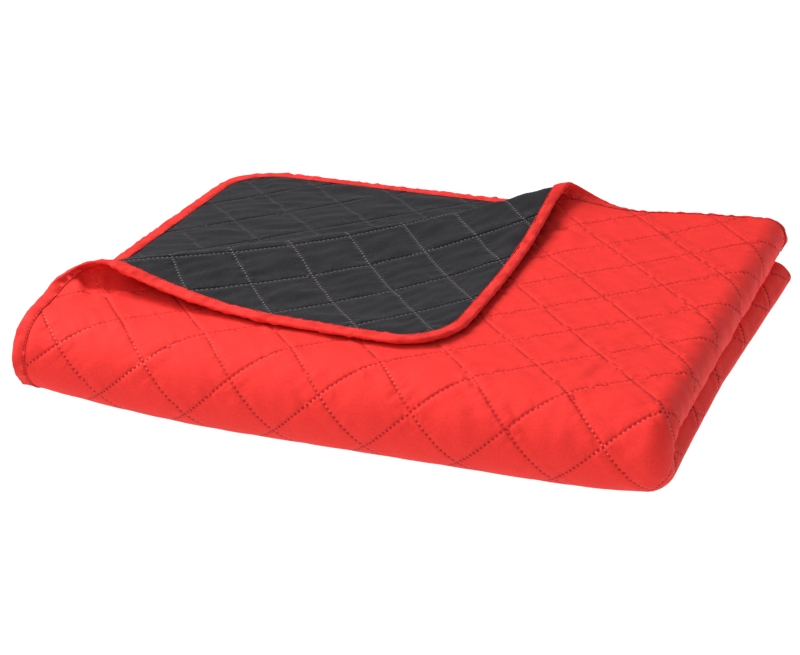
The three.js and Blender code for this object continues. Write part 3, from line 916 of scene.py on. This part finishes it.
def quiltedMaterial(name, look):
    material, tree, shader = newMaterial(name)
    finish = quiltedFinish
    p, q = flatPlace(tree, "quilting")[1:]
    flat, flatU, flatV = flatPlace(tree, "cloth")
    side = quilting["side"]
    dotHalf = 0.5 / quilting["dots"]
    gapP, gapQ = (sums(tree, "MULTIPLY", sums(tree, "PINGPONG", x, 0.5), side) for x in (p, q))
    alongP, alongQ = (sums(tree, "MULTIPLY", sums(tree, "PINGPONG", x, dotHalf), side) for x in (p, q))
    farP, farQ = distance(tree, gapP, alongQ), distance(tree, gapQ, alongP)
    farDot = sums(tree, "MINIMUM", farP, farQ)
    farSeam = sums(tree, "MINIMUM", gapP, gapQ)

    rows = []
    for far, faint in zip((farP, farQ), look["flatDots"]):
        bold = smoothStep(tree, flatV, *finish["boldFromV"], faint, 1.0)
        bold = sums(tree, "MAXIMUM", bold, smoothStep(tree, flatU, *finish["boldFromU"]))
        second = smoothStep(tree, flatV, *finish["secondFromV"], 1.0, look["secondDots"])
        spot = smoothStep(tree, far, look["dotSize"], look["dotSize"] + finish["dotEdge"], 1.0, 0.0)
        rows.append(sums(tree, "MULTIPLY", spot, sums(tree, "MULTIPLY", bold, second)))
    dot = sums(tree, "MAXIMUM", rows[0], rows[1])

    puckers = []
    for gap, across, along, step in zip((gapP, gapQ), (p, q), (q, p), finish["puckerSteps"]):
        place = addNode(tree, "ShaderNodeCombineXYZ")
        tree.links.new(sums(tree, "MULTIPLY", along, finish["puckerAlong"]), place.inputs[0])
        tree.links.new(sums(tree, "MULTIPLY", sums(tree, "ROUND", across), step), place.inputs[1])
        tree.links.new(sums(tree, "MULTIPLY", gap, finish["puckerAcross"]), place.inputs[2])
        fade = sums(tree, "MULTIPLY", smoothStep(tree, gap, *finish["puckerFrom"]),
                    smoothStep(tree, gap, *finish["puckerTo"], 1.0, 0.0))
        puckers.append(sums(tree, "MULTIPLY", noiseOf(tree, place.outputs[0], finish["puckerNoise"]), fade))
    pucker = sums(tree, "MULTIPLY", sums(tree, "ADD", puckers[0], puckers[1]), look["pucker"])

    drawn = addNode(tree, "ShaderNodeMapping")
    drawn.inputs["Scale"].default_value = finish["streakDraw"]
    tree.links.new(flat, drawn.inputs["Vector"])
    streak = noiseOf(tree, drawn.outputs[0], finish["streakNoise"])
    streak = sums(tree, "MULTIPLY", streak, look["streak"])
    cloud = noiseOf(tree, flat, finish["cloudNoise"])
    nap = noiseOf(tree, flat, finish["napNoise"])
    nearSeam = smoothStep(tree, farSeam, *finish["ripple"], 1.0, finish["rippleLeft"])
    ripple = sums(tree, "MULTIPLY", noiseOf(tree, flat, finish["rippleNoise"]), nearSeam)
    dimple = smoothStep(tree, farDot, *finish["dimple"], finish["dimpleDepth"], 0.0)
    groove = smoothStep(tree, farSeam, 0.0, finish["grooveTo"], look["groove"], 0.0)
    height = sums(tree, "MULTIPLY_ADD", nap, finish["napHeight"],
                  sums(tree, "MULTIPLY", ripple, finish["rippleHeight"]))
    for form in (dimple, groove, pucker, streak):
        height = sums(tree, "ADD", height, form)
    raiseSurface(tree, shader, height)

    napShare, cloudShare = finish["toneShares"]
    tone = sums(tree, "MULTIPLY_ADD", nap, napShare, sums(tree, "MULTIPLY", cloud, cloudShare))
    colour = blendColour(tree, smoothStep(tree, tone, *finish["tone"]), look["deep"], look["colour"])
    # painted shade: the colour darkens to the deep tone along each seam, standing in for shade in the seam's
    # valley
    shade = smoothStep(tree, farSeam, *finish["shade"], look["seamShade"], 0.0)
    colour = blendColour(tree, shade, colour, look["deep"])
    colour = blendColour(tree, dot, colour, look["dot"])
    # painted glint: pale highlight painted midway between the dots round the brow of the front, in patches
    # set by noise
    if "paintedGlint" in look:
        midP, midQ = (sums(tree, "SUBTRACT", dotHalf * side, along) for along in (alongP, alongQ))
        farMid = sums(tree, "MINIMUM", distance(tree, gapP, midQ), distance(tree, gapQ, midP))
        paintedGlint = smoothStep(tree, farMid, *finish["paintedGlint"], 1.0, 0.0)
        inReach = sums(tree, "MULTIPLY", smoothStep(tree, flatV, *look["glintFrom"]),
                       smoothStep(tree, flatV, *look["glintTo"], 1.0, 0.0))
        patch = smoothStep(tree, noiseOf(tree, flat, finish["patchNoise"]), *finish["patch"])
        paintedGlint = sums(tree, "MULTIPLY", paintedGlint, sums(tree, "MULTIPLY", inReach, patch))
        colour = blendColour(tree, paintedGlint, colour, look["paintedGlint"])
    tree.links.new(colour, shader.inputs["Base Color"])

    rough = sums(tree, "MULTIPLY_ADD", dot, look["dotRough"] - look["rough"], look["rough"])
    tree.links.new(rough, shader.inputs["Roughness"])
    tree.links.new(sums(tree, "MULTIPLY", dot, look["dotGloss"]), shader.inputs["Coat Weight"])
    shader.inputs["Coat Roughness"].default_value = finish["dotCoatRough"]
    clothSheen(shader, look)
    return material


bindingFinish = {
    "colour": (0.82, 0.040, 0.034, 1.0),
    "deep": (0.66, 0.024, 0.020, 1.0),
    "tone": (0.35, 0.65),      # level of the cloud, from deep to full colour
    "thread": (0.30, 0.008, 0.007, 1.0),
    "rough": 0.74,
    "sheen": 0.08,
    "sheenTint": (1.0, 0.4, 0.38, 1.0),
    "specular": 0.12,
    "stitchStep": 0.0032,      # metres
    "stitchLength": 0.62,      # share of a step
    "stitchEdge": (0.0003, 0.0007),
    "weaveScale": 480.0,
    "weaveDistortion": 1.2,
    "cloudNoise": (70.0, 3.0, 0.55),
    "napNoise": (1100.0, 2.0, 0.6),
    # heights in mm
    "weaveHeight": 0.05,
    "napHeight": 0.06,
    "cloudHeight": 0.5,
    "stitchHeight": 0.22,
    "lineHeight": -0.20,
}


def bindingMaterial(name, look):
    material, tree, shader = newMaterial(name)
    flat, along, across = flatPlace(tree, "tape")
    place = sums(tree, "FRACT", sums(tree, "DIVIDE", along, look["stitchStep"]))
    inStitch = sums(tree, "LESS_THAN", place, look["stitchLength"])
    rows = []
    for middle in binding["stitchRows"]:
        off = sums(tree, "ABSOLUTE", sums(tree, "SUBTRACT", across, float(middle)))
        rows.append(smoothStep(tree, off, *look["stitchEdge"], 1.0, 0.0))
    line = sums(tree, "MAXIMUM", rows[0], rows[1])
    stitch = sums(tree, "MULTIPLY", line, inStitch)
    cloud, nap = noiseOf(tree, flat, look["cloudNoise"]), noiseOf(tree, flat, look["napNoise"])
    weave = addNode(tree, "ShaderNodeTexWave", wave_type="BANDS", bands_direction="DIAGONAL")
    tree.links.new(flat, weave.inputs["Vector"])
    weave.inputs["Scale"].default_value = look["weaveScale"]
    weave.inputs["Distortion"].default_value = look["weaveDistortion"]

    colour = blendColour(tree, smoothStep(tree, cloud, *look["tone"]), look["deep"], look["colour"])
    tree.links.new(blendColour(tree, stitch, colour, look["thread"]), shader.inputs["Base Color"])
    shader.inputs["Roughness"].default_value = look["rough"]
    height = sums(tree, "MULTIPLY", nap, look["napHeight"])
    forms = ((weave.outputs["Fac"], "weaveHeight"), (line, "lineHeight"), (stitch, "stitchHeight"))
    for form, key in forms + ((cloud, "cloudHeight"),):
        height = sums(tree, "MULTIPLY_ADD", form, look[key], height)
    raiseSurface(tree, shader, height)
    clothSheen(shader, look)
    return material


face.data.materials.append(quiltedMaterial("red_quilted_cloth", redCloth))
back.data.materials.append(quiltedMaterial("charcoal_quilted_cloth", charcoalCloth))
tape.data.materials.append(bindingMaterial("red_binding_tape", bindingFinish))
print("materials done")

sheets = ((face, "face_panel", "face_cloth"), (back, "back_panel", "back_cloth"),
          (tape, "binding", "binding_tape"))
for piece, node, slot in sheets:
    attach(piece, "root")
    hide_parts(node)

# pale floor, soft light and the camera
studio = {
    "floorSize": 14.0,
    "floorColour": (0.13, 0.13, 0.13, 1.0),
    "floorRough": 0.9,
    "floorSpecular": 0.1,
    "floorGlow": 1.0,
    "white": (1.0, 1.0, 1.0, 1.0),
    "world": 0.05,
    "lens": 103.365,
    "sensor": 36.0,
    "farthest": 60.0,
    "cameraPlace": (0.59814, -1.67106, 0.74235),
    "azimuth": -20.42,
    "elevation": 22.02,
    "lightsAim": (0.0, 0.0, 0.05),
    "lights": [
        {"name": "leftKey", "place": (-1.8, 0.0, 2.2), "size": 1.5, "power": 95.0},
        {"name": "frontLeft", "place": (-1.1, -1.65, 2.45), "size": 1.5, "power": 28.0},
        {"name": "front", "place": (0.1, -2.6, 1.5), "size": 1.5, "power": 23.5},
        {"name": "lowLeft", "place": (-2.4, -0.7, 1.0), "size": 1.5, "power": 12.0},
        {"name": "right", "place": (1.8, 1.2, 0.35), "size": 0.6, "power": 13.5},
    ],
}

bpy.ops.mesh.primitive_plane_add(size=studio["floorSize"], location=(0.0, 0.0, 0.0))
floor = bpy.context.active_object
floor.name = "floor"
floorMaterial, _, floorShader = newMaterial("pale_floor")
floorShader.inputs["Base Color"].default_value = studio["floorColour"]
floorShader.inputs["Roughness"].default_value = studio["floorRough"]
floorShader.inputs["Emission Color"].default_value = studio["white"]
floorShader.inputs["Emission Strength"].default_value = studio["floorGlow"]
floorShader.inputs["Specular IOR Level"].default_value = studio["floorSpecular"]
floor.data.materials.append(floorMaterial)

world = bpy.data.worlds.new("studio")
bpy.context.scene.world = world
world.use_nodes = True
world.node_tree.nodes["Background"].inputs["Color"].default_value = studio["white"]
world.node_tree.nodes["Background"].inputs["Strength"].default_value = studio["world"]

for row in studio["lights"]:
    bpy.ops.object.light_add(type="AREA", location=row["place"])
    lamp = bpy.context.active_object
    lamp.name = row["name"]
    lamp.data.size = row["size"]
    lamp.data.energy = row["power"]
    aim = Vector(studio["lightsAim"]) - Vector(row["place"])
    lamp.rotation_euler = aim.to_track_quat("-Z", "Y").to_euler()

bpy.ops.object.camera_add(location=studio["cameraPlace"])
camera = bpy.context.active_object
camera.rotation_euler = (math.radians(90 - studio["elevation"]), 0.0, math.radians(-studio["azimuth"]))
camera.data.sensor_width = studio["sensor"]
camera.data.sensor_fit = "HORIZONTAL"
camera.data.lens = studio["lens"]
camera.data.clip_end = studio["farthest"]
bpy.context.scene.camera = camera
bpy.context.scene.view_settings.view_transform = "Standard"
print("studio done")
